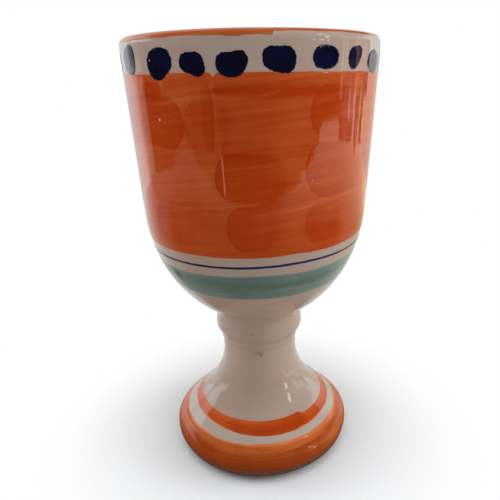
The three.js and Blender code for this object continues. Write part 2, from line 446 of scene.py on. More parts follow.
roll_centre = (foot_ring_radius, roll_underside)
roll_upper = rounded(roll_centre, roll_reach, roll_top, 0, roll_join_deg)
bell_foot = roll_upper[-1]
bell_bend_z = bell_top_z - bell_sweep * (bell_top_z - bell_foot[1])
stem_side = [
    rounded(roll_centre, roll_reach, roll_underside, -90, 0),
    roll_upper,
    swept(
        bell_foot,
        (bell_foot[0] - bell_lean, bell_foot[1] + bell_rise),
        (waist_radius, bell_bend_z),
        (waist_radius, bell_top_z),
    ),
    straight((waist_radius, bell_top_z), (waist_radius, shoulder_z)),
]
stem_inside = [
    straight((tenon_radius, shoulder_z), (tenon_radius, stem_height)),
    straight((bore_radius, stem_height), (bore_radius, bell_top_z)),
    swept(
        (bore_radius, bell_top_z),
        (bore_radius, bell_top_z * (1 - hollow_sweep)),
        (hollow_radius, hollow_rise),
        (hollow_radius, 0),
    ),
]
stem_colour = spotted(white_colour, stem_spots, waist_radius)
stem_glaze = fired_glaze("white_glaze_on_stem", stem_colour, bare=bare_ring_and_painted_shadow)
stem_outline = thinned(wet_outline(stem_side + stem_inside, closed=True, wear=stem_wear))
stem = thrown("thrown_stem_and_foot", stem_outline, True, stem_facets, stem_glaze)
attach(stem, "root")
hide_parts("stem_and_foot")

# Joint slip
# A layer of liquid clay between the top of the stem and the flat under the bowl. It bonds the two and
# stays unglazed, hidden inside the joint.


def slip_colour(place):
    return place.noise(900, 3.0).blend(paint(150, 118, 92), paint(186, 152, 122))


slip_clay = fired_glaze("dried_slip", slip_colour, roughness=0.8)
joint_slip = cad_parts["joint_slip"]
joint_slip.data.materials.clear()
joint_slip.data.materials.append(slip_clay)

# Luting collar
# A coil of soft clay pressed round the joint and smoothed with a wet finger. Its lower edge stands a
# little proud of the waist. Its top is pressed against the round bottom of the bowl, over a fine groove.
seat_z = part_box("bowl")[0].z
rim_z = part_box("bowl")[1].z
collar_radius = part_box("luting_collar")[1].x
collar_proud = 0.45 * MM
collar_bead = 0.15 * MM
collar_bead_rise = 1.5 * MM
collar_swell = 6.4 * MM
collar_ease = 2.5 * MM
collar_crease = 1.7 * MM
collar_groove = 0.45 * MM
collar_cove = 4.4 * MM
collar_smear = 1.1 * MM
collar_bite = 0.12 * MM
collar_overlap = 3.0 * MM
collar_wear = 0.45 * MM
collar_facets = 224
seat_margin = 1.6 * MM
belly_radius = 42.6 * MM
belly_depth = 51 * MM
seat_radius = tenon_radius + seat_margin
belly_z = seat_z + belly_depth * math.sqrt(1 - (seat_radius / belly_radius) ** 2)


def belly_point(radius):
    """Point of the bowl's round bottom at a radius."""
    return radius, belly_z - belly_depth * math.sqrt(1 - (radius / belly_radius) ** 2)


collar_foot = waist_radius + collar_proud
stem_bite = waist_radius - collar_bite
smear_z = shoulder_z - collar_smear
bead_z = shoulder_z + collar_bead_rise
swell_z = shoulder_z + collar_swell
crease_z = belly_point(collar_radius)[1] - collar_crease
collar_brim = belly_point(collar_radius + collar_cove)
brim_inside = belly_point(collar_brim[0] + collar_overlap)
brim_inside = (brim_inside[0], brim_inside[1] + 3 * collar_bite)
collar_side = [
    straight((tenon_radius, shoulder_z), (stem_bite, shoulder_z)),
    straight((stem_bite, smear_z), (collar_foot, shoulder_z)),
    rounded((collar_foot, (shoulder_z + bead_z) / 2), collar_bead, collar_bead_rise / 2, -90, 90),
    swept(
        (collar_foot, bead_z),
        (collar_foot, shoulder_z + collar_ease),
        (collar_radius, swell_z - collar_ease),
        (collar_radius, swell_z),
    ),
    swept(
        (collar_radius - collar_groove, crease_z),
        (collar_radius + 0.1 * collar_cove, crease_z + 0.3 * collar_crease),
        belly_point(collar_radius + 0.5 * collar_cove),
        collar_brim,
    ),
    straight(brim_inside, (seat_radius, seat_z)),
    straight((seat_radius, seat_z), (tenon_radius, seat_z)),
]
collar_spots = (
    # as on the stem: two specks and a pink smear where the glaze is thin
    (-10.1, 56.0, 0.3, 0.3, 0.5, 0.8, paint(110, 72, 66)),
    (-6.2, 56.2, 0.3, 0.25, 0.5, 0.5, paint(120, 82, 74)),
    (-2.5, 52.6, 5.5, 2.4, 0.0, 0.3, paint(178, 138, 126)),
)
collar_colour = spotted(white_colour, collar_spots, waist_radius)
collar_glaze = fired_glaze("white_glaze_on_collar", collar_colour)
collar_outline = thinned(wet_outline(collar_side, closed=True, wear=collar_wear))
collar = thrown("smoothed_collar", collar_outline, True, collar_facets, collar_glaze)
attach(collar, "root")
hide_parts("luting_collar")

# Bowl
# A deep bowl thrown in one piece: a round bottom that runs into a nearly upright side, with a rounded lip.
# It is white inside and out, and it sits on the slip with a small flat trimmed under it.
bowl_wall = 5 * MM
bowl_floor = 7 * MM
bowl_facets = 288
belly_steps = 160
lip_reach = bowl_wall / 2
lip_z = rim_z - lip_reach
lip_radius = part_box("bowl")[1].x


def tangent_deg(reach, rise, end_radius, end_z):
    """Angle below level at which a straight side to a given end leaves the belly's ellipse."""
    run = (reach / rise) * (end_z - belly_z)
    return math.degrees(math.acos(reach / math.hypot(end_radius, run)) - math.atan2(run, end_radius))


side_deg = tangent_deg(belly_radius, belly_depth, lip_radius, lip_z)
seat_deg = math.degrees(math.acos(seat_radius / belly_radius))
lip_centre = (lip_radius - lip_reach, lip_z)
bowl_outside = [
    rounded((0, belly_z), belly_radius, belly_depth, -seat_deg, -side_deg, belly_steps),
    rounded(lip_centre, lip_reach, lip_reach, 0, 180),
]
inner_reach = belly_radius - bowl_wall
inner_rise = belly_z - seat_z - bowl_floor
inner_deg = tangent_deg(inner_reach, inner_rise, lip_radius - bowl_wall, lip_z)
bowl_inside = [rounded((0, belly_z), inner_reach, inner_rise, -inner_deg, -90, belly_steps)]
bowl_underside = straight((0, seat_z), (seat_radius, seat_z))
bowl_glaze = fired_glaze("white_glaze_on_bowl", white_colour)
bowl_outline = thinned(wet_outline([bowl_underside, *bowl_outside, *bowl_inside], closed=False))
bowl = thrown("thrown_bowl", bowl_outline, False, bowl_facets, bowl_glaze)
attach(bowl, "root")
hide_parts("bowl")

# Coat on the rolled edge of the foot
# Orange colour brushed round the roll while the goblet turns on a banding wheel. It stops just above the
# ground, and its streaks run round the foot. It is painted lighter over the top of the roll and at its
# sides as painted light, and darker underneath as painted shade.
edge_low_z = 2.6 * MM
edge_high_z = 15.7 * MM
# painted light and shade on the roll: darker below the first height, lighter above the second, and lighter
# at the sides above the third
edge_shaded_z = 7 * MM
edge_thin_and_lit_z = 10.5 * MM
edge_side_z = 4.2 * MM
edge_fade = 5 * MM
edge_side_fade = 6 * MM


class Wall:
    """The outside of a turned piece, measured along its outline from the lowest point up."""

    def __init__(self, stretches, **wear):
        self.points = wet_outline(stretches, closed=False, **wear)
        run = np.hypot(*np.diff(self.points, axis=0).T)
        self.length = np.concatenate(([0], np.cumsum(run)))
        along = np.gradient(self.points, self.length, axis=0)
        along /= np.hypot(*along.T)[:, None]
        self.out = np.column_stack((along[:, 1], -along[:, 0]))

    def at_height(self, height):
        """Length along the outline at which it first reaches a height."""
        top = np.argmax(self.points[:, 1])
        return np.interp(height, self.points[: top + 1, 1], self.length[: top + 1])

    def lifted(self, length, lift):
        """Radius and height of points at these lengths, this far off the wall."""
        read = [np.interp(length, self.length, column) for column in (*self.points.T, *self.out.T)]
        return read[0] + read[2] * lift, read[1] + read[3] * lift


def eased(value):
    """Value held between 0 and 1, with a soft start and end."""
    near = held(value)
    return near * near * (3 - 2 * near)


def strayed(turn, seed, sway, nibble=0.0):
    """How far a brushed edge strays from its line: slow sways round the pot and short nibbles of the
    brush's hairs."""
    draw = np.random.default_rng(seed)
    stray = np.zeros_like(turn)
    for waves in (2, 3, 5, 7):
        stray += sway / waves * np.sin(waves * turn + draw.uniform(0, 2 * math.pi))
    for waves in range(17, 90, 8):
        stray += nibble * 17 / waves * np.sin(waves * turn + draw.uniform(0, 2 * math.pi))
    return stray


def brushed_edge(wall, height, seed, sway, nibble=0.0, lean=0.0, shape=None):
    """Edge of a coat, as a length along a wall for each angle: near a height, leaning up to the right, with
    a shape of its own, and strayed by hand."""

    def edge(turn):
        line = height + lean * np.sin(turn)
        if shape:
            line = line + shape(turn)
        return wall.at_height(line + strayed(turn, seed, sway, nibble))

    return edge


def ring_faces(rings, facets, closed):
    """Faces between rings of points, each joined to the next, and the last to the first if closed."""
    near = facets * np.arange(rings if closed else rings - 1)[:, None]
    far = (near + facets) % (rings * facets)
    column = np.arange(facets)[None, :]
    following = (column + 1) % facets
    corners = (near + column, near + following, far + following, far + column)
    return np.column_stack([corner.ravel() for corner in corners])


def round_axis(radius, turn, height):
    """Points at these radii, angles from the front and heights."""
    return np.stack((radius * np.sin(turn), -radius * np.cos(turn), height), axis=-1).reshape(-1, 3)


def skin(name, points, faces, material):
    """Object with a smooth mesh of these points and faces."""
    mesh = bpy.data.meshes.new(name)
    mesh.from_pydata(points, [], faces)
    mesh.polygons.foreach_set("use_smooth", np.ones(len(mesh.polygons), bool))
    mesh.materials.append(material)
    piece = bpy.data.objects.new(name, mesh)
    bpy.context.collection.objects.link(piece)
    return piece


def even_coat(turn, height):
    return np.ones_like(height)


def coat(
    name, wall, low, high, glaze, rows=24, facets=480, depth=even_coat, relief=0.5, edge_lack=0.4, crowd=0.0
):
    """A coat of colour as a thin closed skin on a wall, between two edges given as lengths for each angle.
    Its edges run out to nothing, and the depth of the colour, with the light and shade that some coats
    paint into it, is kept on its points for the shader. Facets crowd towards the front by a share."""
    under_rows = 6
    sunk = 0.06 * MM
    thickness = 0.1 * MM
    feather = 0.35 * MM
    edge_reach = 0.5 * MM
    turn = np.linspace(-math.pi, math.pi, facets, endpoint=False)
    turn = turn - crowd * np.sin(turn)
    share = np.concatenate((np.linspace(0, 1, rows), np.linspace(1, 0, under_rows)[1:-1]))[:, None]
    is_top = np.arange(len(share))[:, None] < rows
    from_low = low(turn)[None, :]
    width = high(turn)[None, :] - from_low
    length = from_low + share * width
    to_edge = np.minimum(share, 1 - share) * width
    turns = np.broadcast_to(turn, length.shape)
    amount = depth(turns, wall.lifted(length, 0)[1])
    body = sunk + thickness * (1 + relief * (amount - 1))
    rise = np.sqrt(held(to_edge / feather)) * body - sunk
    radius, height = wall.lifted(length, np.where(is_top, rise, -sunk))
    points = hand_thrown(round_axis(radius, turns, height))
    piece = skin(name, points, ring_faces(len(share), facets, closed=True), glaze)
    colour = amount * (1 - edge_lack * np.exp(-to_edge / edge_reach))
    kept = piece.data.attributes.new("glaze_depth", "FLOAT", "POINT")
    kept.data.foreach_set("value", colour.ravel())
    return piece


def depth_and_light_of(place):
    """Depth of the colour, with any painted light and shade, that a coat keeps on its points."""
    return place.node("ShaderNodeAttribute", {"attribute_name": "glaze_depth"}, output="Fac")


def orange_colour(stops, streak=0.5, stray=1 * MM, slant=0.0):
    """Orange colour that darkens where it lies thick and where a coat's depth holds painted shade, and
    lightens where it holds painted light, with the streaks of a brush drawn round the pot. At the front the
    streaks may rise to the right by a slant."""

    def colour(place):
        sway = place.noise(34, 1.0) * stray - slant * place.part("X")
        drawn = place.node("ShaderNodeCombineXYZ", sockets={2: sway})
        drawn = place.node("ShaderNodeVectorMath", {"operation": "ADD"}, {0: place, 1: drawn})
        broad = drawn.stretched(16, 16, 620).noise(1.0, 2.0)
        fine = drawn.stretched(38, 38, 2300).noise(1.0, 2.0, 0.6)
        blotch = place.noise(110, 2.0)
        body = depth_and_light_of(place) * 0.5 + (broad + 0.8 * fine + 0.6 * blotch - 1.2) * streak
        return body.ramp(stops)

    return colour


def climb_over_dark_strip(turn):
    """The lower edge climbs where the dark strip of painted shadow reaches higher."""
    return dark_strip_rise * eased(1 - np.abs(turn - dark_strip_turn) / dark_strip_reach)


def edge_depth_and_light(turn, height):
    """The colour is brushed out thin towards its upper edge. Over the top of the roll and at its sides it
    is also painted lighter, as painted light, and underneath it is painted darker, as painted shade.
    """
    upper = held((height - edge_thin_and_lit_z) / edge_fade)
    lower = held((edge_shaded_z - height) / edge_fade)
    # painted light: lighter at the sides, more at the right
    side = np.where(turn > 0, 0.26, 0.2) * np.sin(turn) ** 2
    side = side * held((height - edge_side_z) / edge_side_fade)
    return 1.1 - 0.62 * upper**2 - side + 0.35 * lower


stem_wall_side = Wall(stem_side, wear=stem_wear)
edge_low = brushed_edge(stem_wall_side, edge_low_z, 11, 0.35 * MM, 0.05 * MM, shape=climb_over_dark_strip)
edge_high = brushed_edge(stem_wall_side, edge_high_z, 12, 0.2 * MM, 0.03 * MM, lean=0.16 * MM)
edge_stops = [
    (0.0, paint(234, 152, 108)),
    (0.2, paint(217, 114, 58)),
    (0.5, paint(159, 66, 21)),
    (1.0, paint(114, 41, 8)),
]
edge_colour = orange_colour(edge_stops, 0.36)
edge_sheen = {"roughness": 0.08, "ripple": 0.5, "shine": 0.32}
edge_glaze = fired_glaze("orange_on_foot_edge", edge_colour, bare=bare_ring_and_painted_shadow, **edge_sheen)
edge_make = {"rows": 40, "depth": edge_depth_and_light, "edge_lack": 0.45}
foot_edge = coat("foot_edge_coat", stem_wall_side, edge_low, edge_high, edge_glaze, **edge_make)
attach(foot_edge, "root")
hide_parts("foot_edge_band")

# Stripe on the foot
# A single stroke of orange round the bell. It has a thick end where the brush came round and met its
# start, and its upper edge is thin.
stripe_low_z = 18.0 * MM
stripe_high_z = 21.6 * MM
stripe_meet = math.radians(36)
stripe_blob = 0.9 * MM
stripe_thin_rise = 1.4 * MM
# along the stroke, in radians: how slowly it swells and pools towards its end, and how sharply it stops
stripe_swell_turn = 0.35
stripe_pool_turn = 0.5
stripe_stop_turn = 0.09
stripe_fade_turn = 0.12


def stripe_climb(turn):
    """The lower edge climbs to the left."""
    lean = np.sin(turn)
    return (0.5 * lean - 0.45) * lean * MM


def stripe_end(turn):
    """The thick end of the stroke, which grows towards where it met its start and stops there."""
    before = stripe_meet - turn
    swell = np.exp(-np.maximum(before, 0) / stripe_swell_turn)
    return stripe_blob * swell * eased(before / stripe_stop_turn + 0.5)


def stripe_depth_and_light(turn, height):
    """The colour is thick at the end of the stroke and thin along the upper edge. At the sides, most at the
    left, it is painted lighter as painted light.
    """
    before = stripe_meet - turn
    end = held(before / stripe_fade_turn + 0.7)
    pool = np.exp(-np.maximum(before, 0) / stripe_pool_turn) * end
    upper = held((height - stripe_high_z) / stripe_thin_rise + 1) * held(before / stripe_meet)
    # painted light: lighter towards the sides, most at the left
    thin = np.where(turn < 0, 0.4, 0.12) * np.sin(turn) ** 2 + 0.4 * upper
    return 1.05 + 0.35 * pool - 0.15 * (1 - end) - thin


stripe_low = brushed_edge(stem_wall_side, stripe_low_z, 21, 0.3 * MM, 0.02 * MM, shape=stripe_climb)
stripe_high = brushed_edge(stem_wall_side, stripe_high_z, 22, 0.2 * MM, lean=-0.36 * MM, shape=stripe_end)
stripe_stops = [(0.0, paint(224, 110, 52)), (0.5, paint(188, 71, 23)), (1.0, paint(158, 42, 4))]
stripe_colour = orange_colour(stripe_stops, 0.4)
stripe_glaze = fired_glaze("orange_on_foot_stripe", stripe_colour, roughness=0.05, shine=0.42)
foot_stripe = coat(
    "foot_stripe_coat", stem_wall_side, stripe_low, stripe_high, stripe_glaze, depth=stripe_depth_and_light
)
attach(foot_stripe, "root")
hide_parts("foot_stripe")

# Green band
# One broad stroke of thin grey-green round the lower bowl, streaked by the hairs of the brush. A dark drop
# is left where the brush was set down.
green_low_z = 79.0 * MM
green_high_z = 89.4 * MM
drop_turn = math.radians(-49)
drop_z = 85.6 * MM
drop_wall = 38 * MM
drop_half_width = 2.0 * MM
drop_half_height = 1.9 * MM
drop_colour = 1.2


def hump(value):
    """1 at 0, falling smoothly to 0 on both sides."""
    return np.exp(-(value**2))


def green_depth_and_light(turn, height):
    """The colour is painted lighter to the right, as painted light, and thick in the drop."""
    across = (turn - drop_turn) * drop_wall / drop_half_width
    drop = hump(np.hypot(across, (height - drop_z) / drop_half_height))
    # painted light: the sine of the turn makes the right side lighter
    return 0.9 + 0.1 * np.sin(3 * turn + 1) - 0.2 * np.sin(turn) + drop_colour * drop


def green_colour(place):
    broad = place.stretched(14, 14, 420).noise(1.0, 2.0) - 0.5
    fine = place.stretched(40, 40, 1900).noise(1.0, 2.0) - 0.5
    blotch = place.noise(90) - 0.5
    body = depth_and_light_of(place) * 0.5 + broad * 0.35 + fine * 0.2 + blotch * 0.25
    return body.ramp([(0.0, paint(158, 178, 165)), (0.5, paint(104, 122, 111)), (1.0, paint(44, 58, 53))])


bowl_side = Wall(bowl_outside)
green_low = brushed_edge(bowl_side, green_low_z, 31, 0.35 * MM, 0.02 * MM, lean=0.14 * MM)
green_high = brushed_edge(bowl_side, green_high_z, 32, 0.35 * MM, 0.02 * MM, lean=0.82 * MM)
green_glaze = fired_glaze("green_glaze", green_colour)
green_band = coat(
    "green_band_coat", bowl_side, green_low, green_high, green_glaze, rows=36, depth=green_depth_and_light
)
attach(green_band, "root")
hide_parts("green_band")

# Pinstripe
# A thin navy line in the white gap over the green band, drawn with a liner brush as the goblet turned.
# The hand swayed a little, and the line with it.
pinstripe_z = 93.1 * MM
pinstripe_half = 0.5 * MM
pinstripe_lean = 0.71 * MM


def pinstripe_sway(turn):
    return strayed(turn, 41, 0.2 * MM)


def pinstripe_edge(height, seed):
    return brushed_edge(bowl_side, height, seed, 0.12 * MM, 0.02 * MM, pinstripe_lean, pinstripe_sway)


def thin_navy_colour(place):
    drawn = place.stretched(30, 30, 700).noise(1.0, 2.0).between(0.3, 0.75)
    return drawn.blend(paint(24, 26, 64), paint(44, 46, 88))


pinstripe_low = pinstripe_edge(pinstripe_z - pinstripe_half, 42)
pinstripe_high = pinstripe_edge(pinstripe_z + pinstripe_half, 43)
pinstripe_glaze = fired_glaze("navy_on_pinstripe", thin_navy_colour)
pinstripe = coat("pinstripe_coat", bowl_side, pinstripe_low, pinstripe_high, pinstripe_glaze, rows=10)
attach(pinstripe, "root")
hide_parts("pinstripe")

# Broad band
# Several coats of orange laid over each other with a loaded brush. The round ends of the strokes show as
# darker laps with a crisp edge, and the hairs leave streaks between them.
broad_low_z = 96.5 * MM
broad_high_z = 153.6 * MM
broad_ground = 0.72
lift_turn = math.radians(18)
lift_half_turn = math.radians(9)
lift_rise = 0.45 * MM
notch_turn = math.radians(-14.2)
notch_half_turn = math.radians(0.9)
notch_drop = 1.1 * MM
front_laps = (
    # where a lap starts and ends (degrees from the front), its middle height (mm), half its height (mm),
    # how much colour it adds, and how soft its start and its end are (mm)
    (22.6, 62, 141.7, 7.9, 0.34, 0.4, 10),
    (21.1, 66, 124.4, 9.0, 0.36, 0.4, 10),
    (21.5, 64, 107.2, 7.2, 0.28, 0.5, 10),
    (-16.3, 13, 122.6, 7.9, 0.42, 0.4, 1.8),
    (-12.5, 8, 131.8, 3.2, 0.28, 1.2, 2),
    (-13, 15, 140.0, 6.6, 0.13, 3, 8),
    (-12.8, 12, 106.9, 7.9, 0.34, 0.5, 6),
    (-27.8, -80, 139.4, 8.1, 0.36, 0.8, 6),
    (-48, -30, 133.0, 1.7, 0.16, 1, 5),
    (-27.7, -8, 138.6, 8.1, 0.22, 0.8, 5),
    (-14.8, -19.8, 141.0, 10.2, 0.26, 0.5, 0.6),
    (-54, -22, 122.0, 8.8, 0.22, 0.8, 8),
    (-52, -16, 107.0, 7.9, 0.22, 0.8, 8),
    (-14, 26, 148.4, 2.3, 0.62, 2, 1.2),
    (-49, -37, 148.6, 2.2, 0.32, 0.6, 1),
    (-9, 23, 150.7, 0.9, 0.3, 2, 3),
    (-46, -38.6, 151.2, 1.6, 0.3, 1, 1),
)
thin_places = (
    # angle from the front (degrees), height (mm), half width (degrees), half height (mm), colour lacking
    (17, 142, 6, 4, 0.06),
    (12, 118, 7, 4, -0.2),
    (-28, 146.5, 8, 3.5, 0.1),
    (-20, 124, 4.5, 7, 0.12),
    (40, 112.8, 14, 1.8, 0.1),
    (-36.6, 150.8, 0.9, 2.2, 0.35),
)
hair_lines = (
    # where a hair of the brush left the ground bare: from an angle (degrees) and a height (mm) to another,
    # half its width (mm) and the colour lacking
    (1, 146.7, 12, 148.4, 0.35, 0.4),
    (9, 132.4, 26, 133.9, 0.4, 0.3),
    (-2, 134.8, 12, 136.4, 0.3, 0.16),
    (12, 111.7, 27, 112.9, 0.35, 0.14),
    (-24, 113.6, -12, 114.4, 0.3, 0.15),
    (-14.6, 133, -14.4, 147, 0.35, 0.15),
    (-38, 144.6, -30, 146.2, 0.3, 0.15),
    (24, 145.2, 34, 145.8, 0.3, 0.2),
)
# the laps at the back: heights of their rows (mm), and where they start and end (degrees)
back_rows = (146.0, 133.0, 118.5, 104.5)
back_start, back_end = 66, 296
# radius of the wall, and the height over which the ground is thinner (mm)
lap_wall = 44
thin_level = 150.4


def all_laps():
    """The laps at the front, listed one by one, and long overlapping ones round the back."""
    draw = np.random.default_rng(51)
    laps = list(front_laps)
    for middle in back_rows:
        start = back_start + draw.uniform(0, 30)
        while start < back_end - 30:
            end = min(start + draw.uniform(50, 85), back_end)
            height = middle + draw.uniform(-2, 2)
            laps.append((start, end, height, draw.uniform(6.5, 9), draw.uniform(0.14, 0.34), 0.6, 9))
            start = start + draw.uniform(38, 66)
    return laps


def lap_depth(degrees, level, lap):
    """Colour that one lap adds: a stroke with a round start, where it pools, that fades to its end."""
    start, end, middle, half, colour, start_soft, end_soft = lap
    way = math.copysign(1, end - start)
    span = math.radians(abs(end - start)) * lap_wall
    across = np.radians((way * (degrees - start) + 180) % 360 - 180) * lap_wall
    up = (level - middle) / half + 0.05 * np.sin(across / 4 + middle)
    inset = min(0.85 * half, 0.4 * span) * (1 - np.sqrt(held(1 - up**2)))
    from_start = across - inset
    to_end = span - inset - across
    to_side = (1 - np.abs(up)) * half
    inside = held(from_start / start_soft + 0.5) * held(to_end / end_soft + 0.5)
    soft = held(to_side / max(0.7, start_soft))
    fading = 1 - 0.4 * held(across / span)
    to_edge = np.maximum(np.minimum(from_start, to_side), 0)
    pooled = 0.8 * np.exp(-to_edge / 0.6) * (from_start < span / 2)
    return colour * (fading + pooled) * inside * soft


def hair_depth(degrees, level, hair):
    """Colour that is lacking along the line of one hair."""
    first, first_z, last, last_z, half, lack = hair
    run = np.array([math.radians(last - first) * lap_wall, last_z - first_z])
    reach = np.hypot(*run)
    across = np.radians(degrees - first) * lap_wall
    along = (across * run[0] + (level - first_z) * run[1]) / reach
    aside = (across * run[1] - (level - first_z) * run[0]) / reach
    return lack * held(along / 2) * held((reach - along) / 2) * hump(aside / half)


def broad_depth(turn, height):
    """Depth of the orange: a thin ground, which is thinner in places and along the top, and the laps."""
    degrees = np.degrees(turn)
    level = height / MM
    amount = broad_ground + 0.05 * np.sin(2 * turn + 0.5) + 0.05 * np.sin(level / 7 + turn)
    amount = amount - 0.04 * held(level - thin_level + 0.5 * np.sin(4 * turn))
    for angle, middle, half_turn, half, lack in thin_places:
        across = ((degrees - angle + 180) % 360 - 180) / half_turn
        amount = amount - lack * hump(across) * hump((level - middle) / half)
    for lap in all_laps():
        amount = amount + lap_depth(degrees, level, lap)
    for hair in hair_lines:
        amount = amount - hair_depth(degrees, level, hair)
    return amount


def broad_lift(turn):
    """The lower edge rises a little where the brush was lifted off."""
    return lift_rise * hump((turn - lift_turn) / lift_half_turn)


def broad_notch(turn):
    """A narrow notch in the upper edge, between two strokes."""
    return -notch_drop * hump((turn - notch_turn) / notch_half_turn)


def broad_dry(place):
    """How dull the gloss is where the orange is brushed out thin."""
    return 0.4 * (1 - depth_and_light_of(place).between(0.3, 0.6))


broad_low = brushed_edge(bowl_side, broad_low_z, 52, 0.3 * MM, 0.015 * MM, 0.75 * MM, broad_lift)
broad_high = brushed_edge(bowl_side, broad_high_z, 53, 0.25 * MM, 0.03 * MM, -0.45 * MM, broad_notch)
broad_stops = [
    (0.0, paint(210, 120, 72)),
    (0.3, paint(195, 85, 37)),
    (0.55, paint(182, 61, 12)),
    (0.75, paint(174, 52, 6)),
    (1.0, paint(160, 41, 2)),
]
broad_spots = (
    # as on the stem: a pinhole and a few specks
    (-40.0, 140.1, 0.55, 0.5, 0.3, 0.75, paint(235, 220, 210)),
    (-42.2, 118.6, 0.35, 0.3, 0.5, 0.7, paint(90, 36, 20)),
    (34.9, 137.6, 0.3, 0.3, 0.5, 0.7, paint(90, 36, 20)),
    (24.7, 121.2, 0.25, 0.25, 0.5, 0.8, paint(235, 200, 180)),
    (-33.6, 121.4, 0.25, 0.25, 0.5, 0.7, paint(90, 36, 20)),
)
broad_brushed = orange_colour(broad_stops, 0.33, 3 * MM, 0.13)
broad_colour = spotted(broad_brushed, broad_spots, lap_wall * MM)
broad_glaze = fired_glaze("orange_on_broad_band", broad_colour, dry=broad_dry)
broad_make = {"rows": 150, "facets": 620, "relief": 0.12, "edge_lack": 0.1, "crowd": 0.5}
broad_band = coat(
    "broad_band_coat", bowl_side, broad_low, broad_high, broad_glaze, depth=broad_depth, **broad_make
)
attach(broad_band, "root")
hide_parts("broad_band")

# Run of glaze
# A narrow bead where thick glaze ran down the broad band in the kiln, over the end of a lap. It is painted
# paler than the orange round it, as a painted highlight along the bead.
run_top = (math.radians(-12.8), 129.8 * MM)
run_end = (math.radians(-12.4), 117.2 * MM)
run_half_width = 0.42 * MM
run_rise = 0.36 * MM
run_lift = 0.08 * MM
run_steps = 44
run_facets = 16
run_share = np.linspace(0, 1, run_steps)[:, None]
run_round = np.linspace(0, 2 * math.pi, run_facets, endpoint=False)[None, :]
run_size = np.sqrt(np.clip(1 - (2 * run_share - 1) ** 2, 0.004, 1)) * (0.75 + 0.25 * np.sin(9 * run_share))
run_turn = run_top[0] + run_share * (run_end[0] - run_top[0])
run_height = run_top[1] + run_share * (run_end[1] - run_top[1])
run_radius, run_z = bowl_side.lifted(bowl_side.at_height(run_height), run_lift)
run_radius = run_radius + run_rise * run_size * np.sin(run_round)
run_turn = run_turn + run_half_width * run_size * np.cos(run_round) / run_radius
run_points = round_axis(run_radius, run_turn, np.broadcast_to(run_z, run_radius.shape))
run_caps = np.arange(run_steps * run_facets).reshape(run_steps, run_facets)[[0, -1]]
run_faces = [*run_caps.tolist(), *ring_faces(run_steps, run_facets, closed=False).tolist()]


# painted highlight: the bead's colour is paler than the orange round it
def run_highlight_colour(place):
    return place.noise(300, 2.0).blend(paint(206, 90, 48), paint(224, 114, 76))


run_of_glaze = skin("run_of_glaze", run_points, run_faces, fired_glaze("orange_run_painted_highlight", run_highlight_colour))
finish_clay(run_of_glaze)
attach(run_of_glaze, "root")

# Rim line
# A line of orange drawn over the lip with the side of the brush. It wears thin on the crest of the lip, and
# at the front it steps where one stroke ended.
rim_line_z = 164.0 * MM
rim_over = 0.8 * MM
rim_step = math.radians(8)
rim_heavy = (math.radians(-120), math.radians(-90))
rim_heavy_drop = 1.05 * MM
rim_blob = (math.radians(-10.2), math.radians(-1))
rim_blob_drop = 0.35 * MM
rim_blob_soft = (0.02, 0.08)
crest_rise = 0.5 * MM
lip_side = Wall([straight((lip_radius, lip_z - 2 * MM), (lip_radius, lip_z)), bowl_outside[1]])


def rim_drop(turn):
    """The line hangs lower along the heavy stroke that ends at the step, and lower still at a blob."""
    heavy = held((turn - rim_heavy[0]) / (rim_heavy[1] - rim_heavy[0])) * (turn < rim_step)
    blob = held((turn - rim_blob[0]) / rim_blob_soft[0]) * held((rim_blob[1] - turn) / rim_blob_soft[1])
    return -rim_heavy_drop * heavy - rim_blob_drop * blob


def rim_high(turn):
    return lip_side.length[-1] - rim_over + strayed(turn, 62, 0.5 * MM, 0.04 * MM)


def rim_depth(turn, height):
    crest = held((height - (rim_z - crest_rise)) / crest_rise)
    return 1.0 - 0.6 * crest * (0.6 + 0.4 * np.sin(5 * turn))


rim_low = brushed_edge(lip_side, rim_line_z, 61, 0.16 * MM, 0.06 * MM, shape=rim_drop)
rim_stops = [(0.0, paint(206, 146, 100)), (0.5, paint(182, 82, 36)), (1.0, paint(158, 58, 16))]
rim_colour = orange_colour(rim_stops, 0.6)
rim_glaze = fired_glaze("orange_on_rim", rim_colour, roughness=0.1, shine=0.28)
rim_line = coat("rim_line_coat", lip_side, rim_low, rim_high, rim_glaze, rows=30, depth=rim_depth)
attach(rim_line, "root")
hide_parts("rim_line")

# Dabs
# Twenty-one dabs of navy, each pressed on with one touch of a round brush, in a row under the rim. They
# are laid over the orange where they reach it.
dab_nodes = sorted(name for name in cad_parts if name.startswith("dab_"))
front_dabs = (
    # angle from the front (degrees), height of the middle (mm), and how far the dab reaches (mm) in eight
    # directions: right, up and right, up and so on round
    (-57.3, 157.6, 4.2, 5.1, 4.4, 4.75, 5.5, 4.85, 4.3, 4.85),
    (-37.0, 156.2, 5.2, 5.2, 4.45, 4.9, 5.15, 5.1, 4.7, 4.35),
    (-22.1, 155.9, 4.0, 3.75, 3.1, 3.8, 4.05, 3.25, 3.0, 4.5),
    (-7.0, 155.4, 4.3, 4.8, 3.4, 4.35, 4.8, 4.0, 3.3, 3.7),
    (10.1, 156.7, 5.0, 4.5, 3.4, 4.65, 5.05, 3.95, 3.6, 4.85),
    (29.0, 157.2, 4.75, 3.95, 3.35, 4.2, 4.9, 4.1, 3.3, 3.95),
    (44.6, 157.3, 3.2, 4.2, 3.2, 3.5, 3.55, 3.85, 3.3, 2.75),
    (61.0, 156.4, 5.6, 3.9, 3.6, 4.2, 5.5, 4.1, 3.7, 4.1),
)
usual_dab = (156.6, 4.7, 4.3, 3.5, 4.2, 4.8, 4.1, 3.5, 4.2)
back_dabs = (79.5, 282)
dab_waves = 4


